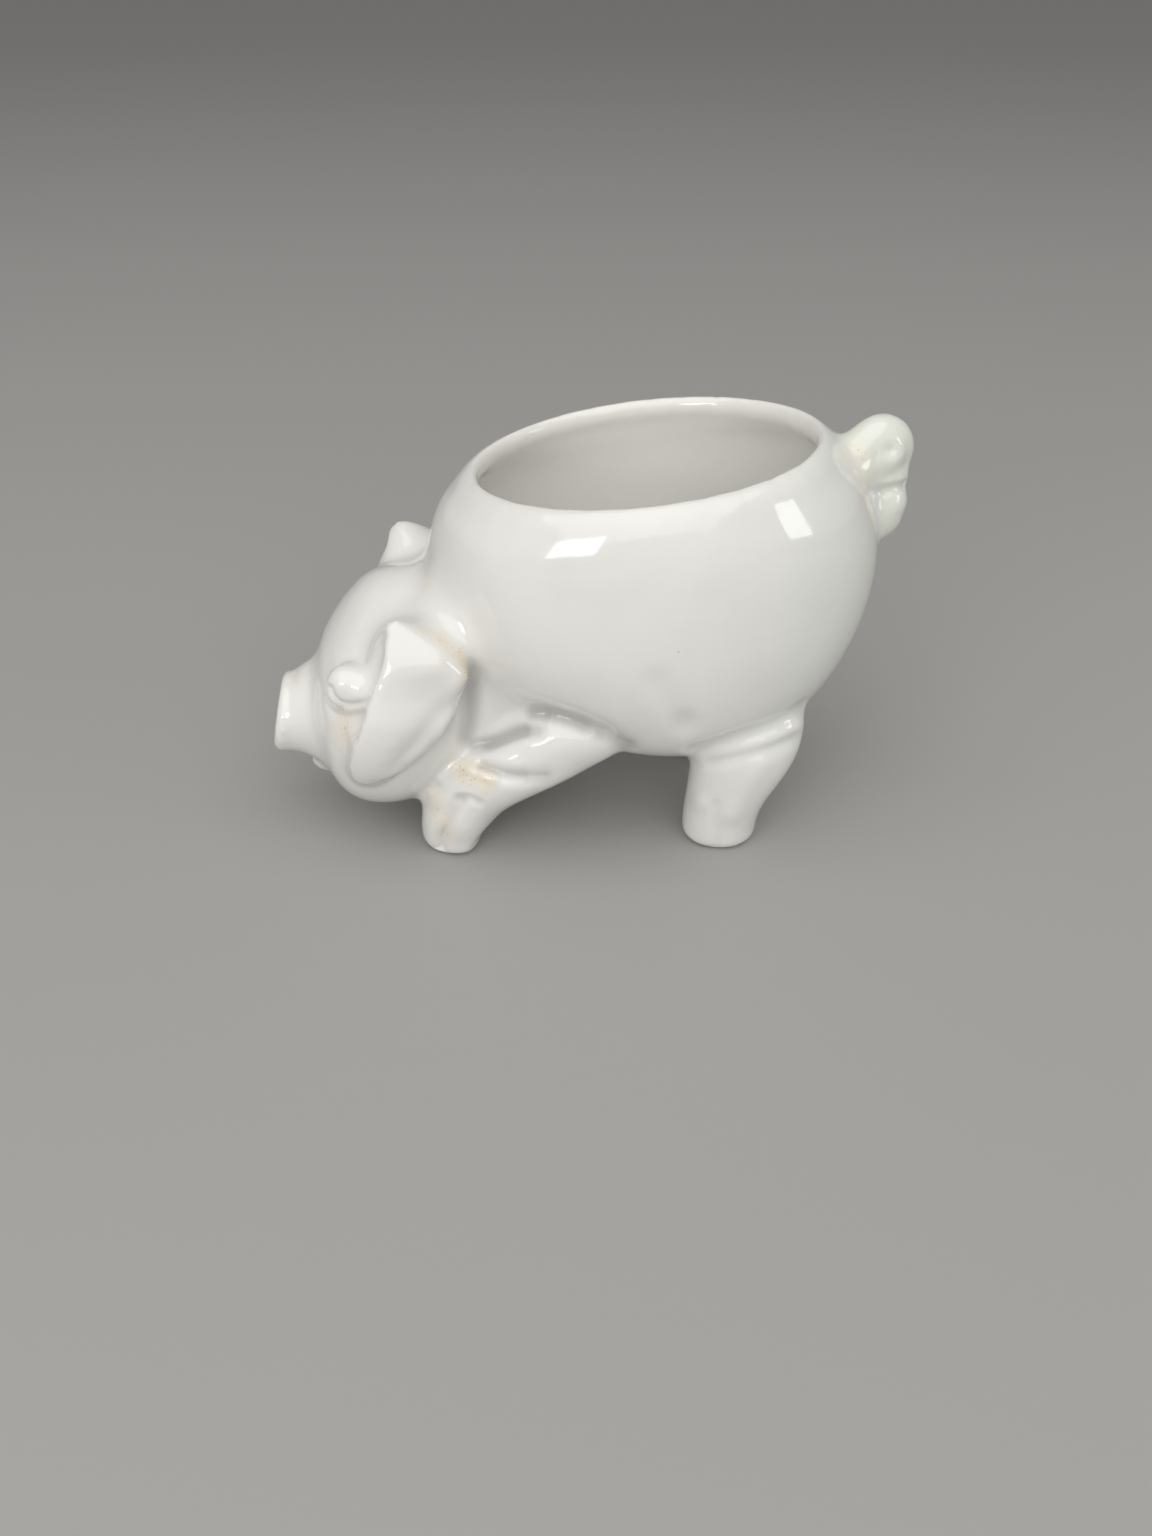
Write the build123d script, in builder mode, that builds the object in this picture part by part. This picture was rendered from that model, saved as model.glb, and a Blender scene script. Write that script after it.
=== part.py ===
"""Pig-shaped planter in white glazed earthenware: an open bowl for a torso, a bowed head, legs and a tail.

The body parts are cast or pressed on their own, trimmed to the part that carries them, luted on with slip
and glazed over, so each one here is its own solid that ends face to face on its neighbour.
The animal faces -X, its left side is -Y, the floor is Z = 0 and sizes are in millimetres.
"""

import os
from collections import namedtuple
from math import cos, radians, sin, sqrt

from build123d import *

# Torso: ovals from the belly up to the rim. Front and rear are places along X, and each end stands a rise
# above the same end of the oval below it, or above the floor for the belly.
Oval = namedtuple("Oval", "front rear front_rise rear_rise half_width")
BELLY = Oval(front=16, rear=62, front_rise=41, rear_rise=38, half_width=24)
UNDERSIDE = Oval(front=-16, rear=86, front_rise=9, rear_rise=7, half_width=45)
FLANK = Oval(front=-46, rear=107, front_rise=22, rear_rise=21, half_width=61)
WAIST = Oval(front=-62, rear=119, front_rise=26, rear_rise=28, half_width=68)
SHOULDER = Oval(front=-64, rear=121.5, front_rise=21, rear_rise=30, half_width=69)
COLLAR = Oval(front=-59, rear=113, front_rise=19, rear_rise=26, half_width=67.5)
RIM = Oval(front=-47, rear=98, front_rise=13, rear_rise=17, half_width=62.5)
TORSO_OVALS = (BELLY, UNDERSIDE, FLANK, WAIST, SHOULDER, COLLAR, RIM)
TORSO_WALL = 6.5
BELLY_FLOOR = 8.0
UNDERSIDE_FLOOR = 4.0
LIP_WIDTH = 7.0
LIP_PROUD = 1.6
MOUTH_CLEARANCE = 12.0

# Head: upright ovals from the neck forward. Reach is measured forward from the front of the torso's waist.
Slice = namedtuple("Slice", "reach bottom top half_width")
SCRUFF = Slice(reach=-40, bottom=54, top=95, half_width=26)
NAPE = Slice(reach=-20, bottom=29, top=109, half_width=37)
JOWL = Slice(reach=0, bottom=17, top=115, half_width=44)
CHEEK = Slice(reach=20, bottom=12, top=115, half_width=49)
BROW = Slice(reach=34, bottom=13, top=105, half_width=45)
FACE = Slice(reach=45, bottom=21, top=90, half_width=35)
MUZZLE = Slice(reach=51, bottom=36, top=74, half_width=20)
HEAD_SLICES = (SCRUFF, NAPE, JOWL, CHEEK, BROW, FACE, MUZZLE)
HEAD_WALL = 6.0
VENT_DIAMETER = 6.0
VENT_HEIGHT = 80.0

# Lower lip: a small tongue-shaped swelling on the head under the snout.
LOWER_LIP_REACH = 46.0
LOWER_LIP_HEIGHT = 27.0
LOWER_LIP_HALF_LENGTH = 13.0
LOWER_LIP_HALF_THICKNESS = 6.5

# Snout: a short flared round, tipped up, with a flat nose disc and two nostrils.
SNOUT_REACH = 69.0
SNOUT_HEIGHT = 53.7
SNOUT_TIP_UP = 13.0
SNOUT_DIAMETER = 37.0
SNOUT_WAIST_DIAMETER = 34.0
SNOUT_ROOT_DIAMETER = 46.0
SNOUT_LENGTH = 26.0
NOSE_ROUND = 3.5
NOSTRIL_WIDTH = 5.0
NOSTRIL_HEIGHT = 7.5
NOSTRIL_SPACING = 13.0
NOSTRIL_DEPTH = 4.0

# Pressed pellets, such as the eyes, end in small flats this far round from their tips.
END_FLAT_ANGLE = 3.0

# Eyes: flattened pellets pressed on the brow, their long axis falling toward the tail.
EYE_HEIGHT = 82.0
EYE_LENGTH = 17.0
EYE_THICKNESS = 11.0
EYE_SLANT = 17.0

# Ears: flaps draped over the sides of the head from two root corners to a tip, thick and raised at the root.
# Their outline lies square to a line that tips up and outward, and its heights are measured on that slope.
EAR_THICKNESS = 11.0
EAR_RISE = 12.0
EAR_TILT = 30.0
EAR_ROOT_DEPTH = 30.0
EAR_OUTER_LIMIT = 90.0
EAR_FRONT_REACH = 12.0
EAR_FRONT_HEIGHT = 69.5
EAR_FRONT_ROUND = 9.5
EAR_REAR_REACH = -3.0
EAR_REAR_HEIGHT = 60.0
EAR_REAR_ROUND = 10.0
EAR_TIP_REACH = 31.5
EAR_TIP_HEIGHT = 19.5
EAR_TIP_ROUND = 6.0

# Legs: rounds from the flat sole up into the torso. Bend turns a round's upper side toward the tail.
Round = namedtuple("Round", "x side height bend half_length half_width")
FRONT_TROTTER = Round(x=-57.5, side=29, height=0, bend=0, half_length=15.5, half_width=14.5)
FRONT_PASTERN = Round(x=-56, side=30, height=14, bend=6, half_length=16.5, half_width=15.5)
FRONT_KNEE = Round(x=-51, side=32, height=27, bend=27, half_length=16.5, half_width=16.5)
FOREARM = Round(x=-39, side=35, height=39, bend=46, half_length=16.5, half_width=17)
ELBOW = Round(x=-23, side=37, height=49.5, bend=54, half_length=17.5, half_width=17)
UPPER_ARM = Round(x=-5, side=37, height=62, bend=54, half_length=19, half_width=17)
FRONT_SHOULDER = Round(x=14, side=35, height=75, bend=54, half_length=20, half_width=16)
FRONT_ROUNDS = (FRONT_TROTTER, FRONT_PASTERN, FRONT_KNEE, FOREARM, ELBOW, UPPER_ARM, FRONT_SHOULDER)
REAR_TROTTER = Round(x=57.5, side=36, height=0, bend=0, half_length=16, half_width=14.5)
REAR_PASTERN = Round(x=58, side=36.5, height=14, bend=3, half_length=16.5, half_width=15.5)
HOCK = Round(x=61, side=37, height=28, bend=8, half_length=18.5, half_width=17)
THIGH = Round(x=65, side=37, height=43, bend=10, half_length=22, half_width=18.5)
HAUNCH = Round(x=67, side=36, height=58, bend=10, half_length=23.5, half_width=18)
HIP = Round(x=69, side=34, height=74, bend=10, half_length=21, half_width=17)
REAR_ROUNDS = (REAR_TROTTER, REAR_PASTERN, HOCK, THIGH, HAUNCH, HIP)
SOLE_ROUND = 4.5
CLEFT_WIDTH = 4.0
CLEFT_DEPTH = 1.6
CLEFT_HEIGHT = 15.0
FRONT_CLEFT_TURN = 30.0
REAR_CLEFT_TURN = 10.0

# Tail: a fat root on the rump and one curl of a round tube above it.
TAIL_ROOT_HEIGHT = 132.0
TAIL_ROOT_SET_BACK = 5.0
TAIL_ROOT_HALF_LENGTH = 17.0
TAIL_ROOT_HALF_THICKNESS = 12.0
TAIL_CURL_HEIGHT = 158.0
TAIL_CURL_SET_BACK = 4.0
TAIL_CURL_DIAMETER = 18.5
TAIL_CURL_PITCH = 16.5
TAIL_THICKNESS = 15.0
TAIL_START_ANGLE = -150.0
TAIL_SWEEP_ANGLE = 350.0
TAIL_CURL_POINTS = 25

os.makedirs("parts", exist_ok=True)

NECK_X = WAIST.front


def torso_plane(oval, wall, lift):
    """The plane of a torso oval drawn in by a wall and lifted, with its half length and half width on it."""
    below = TORSO_OVALS[: TORSO_OVALS.index(oval) + 1]
    front = Vector(oval.front + wall, 0, sum(step.front_rise for step in below) + lift)
    rear = Vector(oval.rear - wall, 0, sum(step.rear_rise for step in below) + lift)
    along = rear - front
    plane = Plane(origin=(front + rear) / 2, x_dir=along, z_dir=along.cross(Vector(0, 1, 0)))
    return plane, along.length / 2, oval.half_width - wall


def head_plane(slice_, growth, rise):
    """The plane of one head slice, grown and raised, facing forward, with its half width and half height."""
    middle = (slice_.bottom + slice_.top) / 2 + rise
    plane = Plane(origin=(NECK_X - slice_.reach, 0, middle), x_dir=(0, 1, 0), z_dir=(-1, 0, 0))
    return plane, slice_.half_width + growth, (slice_.top - slice_.bottom + rise) / 2 + min(growth, 0)


def half_oval(half_length, half_thickness):
    """Half an oval drawn over its long axis, with its two ends cut to small flats."""
    curve = EllipticalCenterArc(
        (0, 0), half_length, half_thickness, start_angle=END_FLAT_ANGLE, arc_size=180 - 2 * END_FLAT_ANGLE
    )
    Polyline(curve @ 1, ((curve @ 1).X, 0), ((curve @ 0).X, 0), curve @ 0)


def leg_plane(leg_round):
    """The plane of one leg round on the left side, tipped toward the tail by its bend."""
    bend = radians(leg_round.bend)
    return Plane(
        origin=(leg_round.x, -leg_round.side, leg_round.height),
        x_dir=(cos(bend), 0, -sin(bend)),
        z_dir=(sin(bend), 0, cos(bend)),
    )


def cleft_plane(trotter, turn):
    """A level plane at the floor on the outer face of a trotter, turned from sideways toward the head."""
    turn = radians(turn)
    stand_out = CLEFT_WIDTH / 2 - CLEFT_DEPTH
    return Plane(
        origin=(
            trotter.x - sin(turn) * (trotter.half_length + stand_out),
            -trotter.side - cos(turn) * (trotter.half_width + stand_out),
            0,
        )
    )


# The torso's outer form, which every neighbour is trimmed to.
with BuildPart() as torso_form:
    for oval in TORSO_OVALS:
        plane, half_length, half_width = torso_plane(oval, 0, 0)
        with BuildSketch(plane):
            Ellipse(half_length, half_width)
    loft()

# The torso bowl: the form hollowed out through the mouth, with a rolled lip and a vent into the head.
with BuildPart() as torso_bowl:
    add(torso_form.part)
    hollow = [torso_plane(BELLY, 0, BELLY_FLOOR), torso_plane(UNDERSIDE, TORSO_WALL, UNDERSIDE_FLOOR)]
    hollow += [torso_plane(oval, TORSO_WALL, 0) for oval in (FLANK, WAIST, SHOULDER, COLLAR)]
    hollow += [torso_plane(RIM, LIP_WIDTH, 0), torso_plane(RIM, LIP_WIDTH, MOUTH_CLEARANCE)]
    for plane, half_length, half_width in hollow:
        with BuildSketch(plane):
            Ellipse(half_length, half_width)
    loft(mode=Mode.SUBTRACT)
    rim_plane, half_length, half_width = torso_plane(RIM, 0, 0)
    with BuildLine(rim_plane) as lip_line:
        EllipticalCenterArc(
            (0, 0), half_length - LIP_WIDTH / 2, half_width - LIP_WIDTH / 2, arc_size=360
        )
    with BuildSketch(Plane(lip_line.line @ 0, z_dir=lip_line.line % 0)):
        Circle(LIP_WIDTH / 2 + LIP_PROUD)
    sweep()
    with BuildSketch(Plane(origin=(NECK_X, 0, VENT_HEIGHT), z_dir=(1, 0, 0))):
        Circle(VENT_DIAMETER / 2)
    extrude(amount=-SCRUFF.reach, mode=Mode.SUBTRACT)
torso_bowl.part.label = "torso_bowl"
export_step(torso_bowl.part, "parts/torso_bowl.step")

# The head's outer form with its lower lip, and a grown and raised form for the outer face of the ears.
lower_lip_place = Plane(
    origin=(NECK_X - LOWER_LIP_REACH, 0, LOWER_LIP_HEIGHT), x_dir=(-1, 0, 0), z_dir=(0, 1, 0)
)
with BuildPart() as head_form:
    for slice_ in HEAD_SLICES:
        plane, half_width, half_height = head_plane(slice_, 0, 0)
        with BuildSketch(plane):
            Ellipse(half_width, half_height)
    loft()
    with BuildSketch(lower_lip_place):
        with BuildLine():
            half_oval(LOWER_LIP_HALF_LENGTH, LOWER_LIP_HALF_THICKNESS)
        make_face()
    revolve(axis=Axis(lower_lip_place.origin, lower_lip_place.x_dir))

with BuildPart() as ear_form:
    for slice_ in HEAD_SLICES:
        plane, half_width, half_height = head_plane(slice_, EAR_THICKNESS, EAR_RISE)
        with BuildSketch(plane):
            Ellipse(half_width, half_height)
    loft()

# The head: a hollow shell, open at the back where it seats on the torso.
with BuildPart() as head:
    add(head_form.part)
    for slice_ in HEAD_SLICES[:-1]:
        plane, half_width, half_height = head_plane(slice_, -HEAD_WALL, 0)
        with BuildSketch(plane):
            Ellipse(half_width, half_height)
    loft(mode=Mode.SUBTRACT)
    add(torso_form.part, mode=Mode.SUBTRACT)
head.part.label = "head"
export_step(head.part, "parts/head.step")

# The snout: rounds set along its own axis, trimmed to the head, with nostrils sunk in the nose disc.
tip_up = radians(SNOUT_TIP_UP)
snout_back = Vector(cos(tip_up), 0, -sin(tip_up))
nose_middle = Vector(NECK_X - SNOUT_REACH, 0, SNOUT_HEIGHT)
with BuildPart() as snout:
    for back, diameter in (
        (0, SNOUT_DIAMETER),
        (SNOUT_LENGTH / 2, SNOUT_WAIST_DIAMETER),
        (SNOUT_LENGTH, SNOUT_ROOT_DIAMETER),
    ):
        with BuildSketch(Plane(origin=nose_middle + snout_back * back, x_dir=(0, 1, 0), z_dir=snout_back)):
            Circle(diameter / 2)
    loft()
    nose = snout.faces().sort_by(Axis.X)[0]
    fillet(nose.edges(), NOSE_ROUND)
    with BuildSketch(Plane(origin=nose_middle, x_dir=(0, 1, 0), z_dir=snout_back)):
        with Locations((-NOSTRIL_SPACING / 2, 0), (NOSTRIL_SPACING / 2, 0)):
            Ellipse(NOSTRIL_WIDTH / 2, NOSTRIL_HEIGHT / 2)
    extrude(amount=NOSTRIL_DEPTH, mode=Mode.SUBTRACT)
    add(head_form.part, clean=False, mode=Mode.SUBTRACT)
snout.part.label = "snout"
export_step(snout.part, "parts/snout.step")

# The eyes: each pellet is centred on the brow's own surface at the eye's height.
brow_middle = (BROW.bottom + BROW.top) / 2
brow_half_height = (BROW.top - BROW.bottom) / 2
eye_side = BROW.half_width * sqrt(1 - ((EYE_HEIGHT - brow_middle) / brow_half_height) ** 2)
slant = radians(EYE_SLANT)
eye_place = Plane(
    origin=(NECK_X - BROW.reach, -eye_side, EYE_HEIGHT), x_dir=(cos(slant), 0, -sin(slant)), z_dir=(0, -1, 0)
)
with BuildPart() as left_eye:
    with BuildSketch(eye_place):
        with BuildLine():
            half_oval(EYE_LENGTH / 2, EYE_THICKNESS / 2)
        make_face()
    revolve(axis=Axis(eye_place.origin, eye_place.x_dir))
    add(head_form.part, mode=Mode.SUBTRACT)
left_eye.part.label = "left_eye"
export_step(left_eye.part, "parts/left_eye.step")

with BuildPart() as right_eye:
    mirror(left_eye.part, about=Plane.XZ)
right_eye.part.label = "right_eye"
export_step(right_eye.part, "parts/right_eye.step")

# The ears: an outline of three rounds, run outward and kept between the head's form and the raised form.
tilt = radians(EAR_TILT)
ear_place = Plane(
    origin=(NECK_X, -EAR_ROOT_DEPTH * cos(tilt), EAR_ROOT_DEPTH * sin(tilt)),
    x_dir=(-1, 0, 0),
    z_dir=(0, cos(tilt), -sin(tilt)),
)
with BuildPart() as left_ear:
    with BuildSketch(ear_place):
        with BuildLine():
            CenterArc((EAR_FRONT_REACH, EAR_FRONT_HEIGHT), EAR_FRONT_ROUND, 0, 360)
            CenterArc((EAR_REAR_REACH, EAR_REAR_HEIGHT), EAR_REAR_ROUND, 0, 360)
            CenterArc((EAR_TIP_REACH, EAR_TIP_HEIGHT), EAR_TIP_ROUND, 0, 360)
        make_hull()
    extrude(amount=-EAR_OUTER_LIMIT)
    add(ear_form.part, mode=Mode.INTERSECT)
    add(head_form.part, mode=Mode.SUBTRACT)
    add(torso_form.part, mode=Mode.SUBTRACT)
left_ear.part.label = "left_ear"
export_step(left_ear.part, "parts/left_ear.step")

with BuildPart() as right_ear:
    mirror(left_ear.part, about=Plane.XZ)
right_ear.part.label = "right_ear"
export_step(right_ear.part, "parts/right_ear.step")

# The front legs: stretched forward from the shoulder, trimmed to the torso and to the head they lie against.
with BuildPart() as left_front_leg:
    for leg_round in FRONT_ROUNDS:
        with BuildSketch(leg_plane(leg_round)):
            Ellipse(leg_round.half_length, leg_round.half_width)
    loft()
    sole = left_front_leg.faces().sort_by(Axis.Z)[0]
    fillet(sole.edges(), SOLE_ROUND)
    with BuildSketch(cleft_plane(FRONT_PASTERN, FRONT_CLEFT_TURN)):
        Circle(CLEFT_WIDTH / 2)
    extrude(amount=CLEFT_HEIGHT, mode=Mode.SUBTRACT)
    add(torso_form.part, mode=Mode.SUBTRACT)
    add(head_form.part, mode=Mode.SUBTRACT)
left_front_leg.part.label = "left_front_leg"
export_step(left_front_leg.part, "parts/left_front_leg.step")

with BuildPart() as right_front_leg:
    mirror(left_front_leg.part, about=Plane.XZ)
right_front_leg.part.label = "right_front_leg"
export_step(right_front_leg.part, "parts/right_front_leg.step")

# The rear legs: short and stout, trimmed to the torso.
with BuildPart() as left_rear_leg:
    for leg_round in REAR_ROUNDS:
        with BuildSketch(leg_plane(leg_round)):
            Ellipse(leg_round.half_length, leg_round.half_width)
    loft()
    sole = left_rear_leg.faces().sort_by(Axis.Z)[0]
    fillet(sole.edges(), SOLE_ROUND)
    with BuildSketch(cleft_plane(REAR_PASTERN, REAR_CLEFT_TURN)):
        Circle(CLEFT_WIDTH / 2)
    extrude(amount=CLEFT_HEIGHT, mode=Mode.SUBTRACT)
    add(torso_form.part, mode=Mode.SUBTRACT)
left_rear_leg.part.label = "left_rear_leg"
export_step(left_rear_leg.part, "parts/left_rear_leg.step")

with BuildPart() as right_rear_leg:
    mirror(left_rear_leg.part, about=Plane.XZ)
right_rear_leg.part.label = "right_rear_leg"
export_step(right_rear_leg.part, "parts/right_rear_leg.step")

# The tail: a curl of tube that walks sideways by its pitch, over a fat root, trimmed to the torso.
curl_x = SHOULDER.rear - TAIL_CURL_SET_BACK
curl_points = []
for step in range(TAIL_CURL_POINTS):
    share = step / (TAIL_CURL_POINTS - 1)
    angle = radians(TAIL_START_ANGLE + TAIL_SWEEP_ANGLE * share)
    sideways = TAIL_CURL_PITCH * TAIL_SWEEP_ANGLE / 360 * (0.5 - share)
    curl_points.append(
        (
            curl_x + TAIL_CURL_DIAMETER / 2 * cos(angle),
            sideways,
            TAIL_CURL_HEIGHT + TAIL_CURL_DIAMETER / 2 * sin(angle),
        )
    )
with BuildPart() as tail:
    with BuildLine() as curl:
        Spline(curl_points)
    with BuildSketch(Plane(curl.line @ 0, z_dir=curl.line % 0)):
        Circle(TAIL_THICKNESS / 2)
    sweep()
    with Locations(curl.line @ 1):
        Sphere(TAIL_THICKNESS / 2)
    tail_root = Plane(
        origin=(SHOULDER.rear - TAIL_ROOT_SET_BACK, 0, TAIL_ROOT_HEIGHT), x_dir=(1, 0, 0), z_dir=(0, 1, 0)
    )
    with BuildSketch(tail_root):
        with BuildLine():
            half_oval(TAIL_ROOT_HALF_LENGTH, TAIL_ROOT_HALF_THICKNESS)
        make_face()
    revolve(axis=Axis(tail_root.origin, tail_root.x_dir))
    add(torso_form.part, mode=Mode.SUBTRACT)
tail.part.label = "tail"
export_step(tail.part, "parts/tail.step")
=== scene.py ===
import bmesh
import bpy
import numpy as np
from mathutils import Matrix, Vector
from mathutils.bvhtree import BVHTree


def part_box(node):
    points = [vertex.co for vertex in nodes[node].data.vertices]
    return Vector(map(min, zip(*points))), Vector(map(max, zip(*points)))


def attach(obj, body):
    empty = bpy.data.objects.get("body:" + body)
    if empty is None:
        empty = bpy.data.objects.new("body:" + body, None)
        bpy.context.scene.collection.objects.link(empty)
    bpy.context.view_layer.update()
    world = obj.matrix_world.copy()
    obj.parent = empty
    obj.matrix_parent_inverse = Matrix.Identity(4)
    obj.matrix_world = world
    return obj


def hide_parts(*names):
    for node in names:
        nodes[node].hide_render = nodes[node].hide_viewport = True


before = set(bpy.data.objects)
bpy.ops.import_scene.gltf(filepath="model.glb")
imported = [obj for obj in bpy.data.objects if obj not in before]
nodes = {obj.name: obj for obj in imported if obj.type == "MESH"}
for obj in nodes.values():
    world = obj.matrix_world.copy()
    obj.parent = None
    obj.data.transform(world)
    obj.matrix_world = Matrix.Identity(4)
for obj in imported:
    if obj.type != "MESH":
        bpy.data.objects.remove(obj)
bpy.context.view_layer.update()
MM = 0.001

# The pig in damp clay: slip-cast and pressed parts, luted together with slip and sponged over until
# the joints are soft. The skin is worked whole and parted into its pieces further down, so that the
# glaze runs over each joint without a step.
SKIN_GRAIN = 1.45 * MM
SKIN_PASSES = 6
# Clay pressed in before luting: place and half sizes of each pellet. The first shuts the kiln vent.
PELLETS = [
    ((-50, 0, 80), (3.5, 5, 5)),
    ((119.5, -1, 160), (11, 12, 12)),
    ((112, 0, 151), (10, 13, 18)),
    ((121, 0, 149), (12.5, 10.5, 9)),
    ((124, 0, 138), (10.5, 11, 10)),
    ((-95, -38.5, 86), (8.5, 6, 8)),
    ((-95, 36.5, 84), (7, 4.5, 6.5)),
]
# Coils pressed along the inside, the crest and the rear of each ear: places on the left side and radii.
COILS = [
    [(-80, -33, 102, 5), (-76, -32, 103, 7), (-69, -31.5, 103, 7.5), (-61, -33, 101, 7), (-54, -37, 96, 5)],
    [(-81, -42, 105, 3), (-78, -41.5, 107.5, 4.5), (-72.5, -41, 109.5, 5.5),
     (-64.5, -41.5, 108.5, 5), (-57, -42, 103, 4)],
    [(-50, -45, 89, 3), (-56, -48.5, 80, 4), (-64, -50.5, 71, 4.6), (-73, -51, 62.5, 4.8),
     (-83, -49.5, 53, 4.6), (-91, -44, 45.5, 4)],
]
COIL_STEP = 2.0
# A collar of clay round the root of the snout: middle, the way it points, length, root and front radius.
SNOUT_COLLAR = (-115, 0, 54.5)
SNOUT_AIM = (-0.974, 0, 0.225)
SNOUT_COLLAR_LENGTH = 18
SNOUT_COLLAR_ROOT = 25
SNOUT_COLLAR_FRONT = 17.5


def new_piece(name, mesh):
    """An object of that mesh, linked to the scene."""
    piece = bpy.data.objects.new(name, mesh)
    bpy.context.scene.collection.objects.link(piece)
    return piece


clay = bmesh.new()
pressed_in = list(PELLETS)
for coil in COILS:
    for start, end in zip(coil[:-1], coil[1:]):
        start = np.array(start)
        run = end - start
        beads = int(np.linalg.norm(run[:3]) / COIL_STEP) + 1
        for bead in range(beads):
            x, y, z, radius = start + run * bead / beads
            pressed_in += [((x, y, z), (radius, radius, radius)), ((x, -y, z), (radius, radius, radius))]
for place, half_sizes in pressed_in:
    bmesh.ops.create_icosphere(
        clay,
        subdivisions=3,
        radius=MM,
        matrix=Matrix.Translation(Vector(place) * MM) @ Matrix.Diagonal(Vector(half_sizes).to_4d()),
    )
bmesh.ops.create_cone(
    clay,
    cap_ends=True,
    segments=64,
    radius1=SNOUT_COLLAR_ROOT * MM,
    radius2=SNOUT_COLLAR_FRONT * MM,
    depth=SNOUT_COLLAR_LENGTH * MM,
    matrix=Matrix.LocRotScale(Vector(SNOUT_COLLAR) * MM, Vector(SNOUT_AIM).to_track_quat("Z", "Y"), None),
)
for node in nodes.values():
    clay.from_mesh(node.data)
bmesh.ops.remove_doubles(clay, verts=clay.verts, dist=0.001 * MM)
clay_mesh = bpy.data.meshes.new("damp_clay")
clay.to_mesh(clay_mesh)
clay.free()
damp_clay = new_piece("damp_clay", clay_mesh)
luting = damp_clay.modifiers.new("luting", "REMESH")
luting.mode = "VOXEL"
luting.voxel_size = SKIN_GRAIN
skin = bpy.data.meshes.new_from_object(damp_clay.evaluated_get(bpy.context.evaluated_depsgraph_get()))
bpy.data.objects.remove(damp_clay)


def read_edges(mesh):
    """The two vertices of each edge, one row each."""
    ends = np.empty(len(mesh.edges) * 2, dtype=np.int64)
    mesh.edges.foreach_get("vertices", ends)
    return ends.reshape(-1, 2)


def read_points(mesh, field):
    """Each vertex's place or normal, one row each."""
    values = np.empty(len(mesh.vertices) * 3)
    mesh.vertices.foreach_get(field, values)
    return values.reshape(-1, 3)


def set_points(mesh, points):
    """Moves the vertices to these places."""
    mesh.vertices.foreach_set("co", points.ravel())
    mesh.update()


def fade(distance, reach):
    """1 at no distance, falling softly to 0 at the reach."""
    share = np.clip(1 - distance / reach, 0, 1)
    return share * share * (3 - 2 * share)


class Sponge:
    """Evens the weighted part of a mesh by moving vertices toward the middle of their neighbours."""

    def __init__(self, mesh, weight):
        ends = read_edges(mesh)
        worked = weight > 0
        ends = ends[worked[ends[:, 0]] | worked[ends[:, 1]]]
        self.used, ends = np.unique(ends, return_inverse=True)
        self.first, self.second = ends.reshape(-1, 2).T
        self.count = len(self.used)
        valence = np.bincount(self.first, minlength=self.count)
        valence = valence + np.bincount(self.second, minlength=self.count)
        self.valence = valence[:, None]
        self.weight = weight[self.used][:, None]
        self.mesh = mesh

    def pull(self, values):
        """From each vertex's values to the mean of its neighbours', times its weight."""
        columns = []
        for column in values.T:
            total = np.bincount(self.first, column[self.second], self.count)
            columns.append(total + np.bincount(self.second, column[self.first], self.count))
        return self.weight * (np.stack(columns, axis=1) / self.valence - values)

    def work(self, passes, push_back=0.0, shave=1.0):
        """Sponges the mesh. Push back keeps the broad form, and ridges are worn by the shave share only."""
        places = read_points(self.mesh, "co")
        normals = read_points(self.mesh, "normal")[self.used]
        points = places[self.used]
        for _ in range(passes):
            move = 0.5 * self.pull(points)
            if shave < 1:
                outward = np.sum(move * normals, axis=1, keepdims=True)
                move = np.where(outward > 0, move, shave * move)
            points = points + move
            if push_back:
                points = points - push_back * self.pull(points)
        places[self.used] = points
        set_points(self.mesh, places)

    def spread(self, values, passes):
        """The values, one or more columns for each vertex, after evening them out."""
        values = values.copy()
        part = values[self.used]
        for _ in range(passes):
            part = part + 0.5 * self.pull(part)
        values[self.used] = part
        return values


def surface_tree(names, keep):
    """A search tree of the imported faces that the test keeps, from these solids."""
    corners = []
    faces = []
    for name in names:
        mesh = nodes[name].data
        start = len(corners)
        corners += [vertex.co for vertex in mesh.vertices]
        faces += [[start + i for i in face.vertices] for face in mesh.polygons if keep(face)]
    return BVHTree.FromPolygons(corners, faces)


def gap_to(tree, points, reach):
    """Each point's distance from the tree's surface, up to the reach."""
    gaps = np.full(len(points), reach)
    for index, point in enumerate(points):
        found = tree.find_nearest(point, reach)
        if found[3] is not None:
            gaps[index] = found[3]
    return gaps


# The hollow of the head is shut off from the bowl by its plug. It stays out of the skin, which is what can
# be reached from the tip of the nose.
first, second = read_edges(skin).T
reached = np.zeros(len(skin.vertices), dtype=bool)
reached[read_points(skin, "co")[:, 0].argmin()] = True
count = 0
while count < reached.sum():
    count = reached.sum()
    reached[first[reached[second]]] = True
    reached[second[reached[first]]] = True
outside = bmesh.new()
outside.from_mesh(skin)
outside.verts.ensure_lookup_table()
bmesh.ops.delete(outside, geom=[outside.verts[i] for i in np.flatnonzero(~reached)], context="VERTS")
outside.to_mesh(skin)
outside.free()
skin.update()

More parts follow.
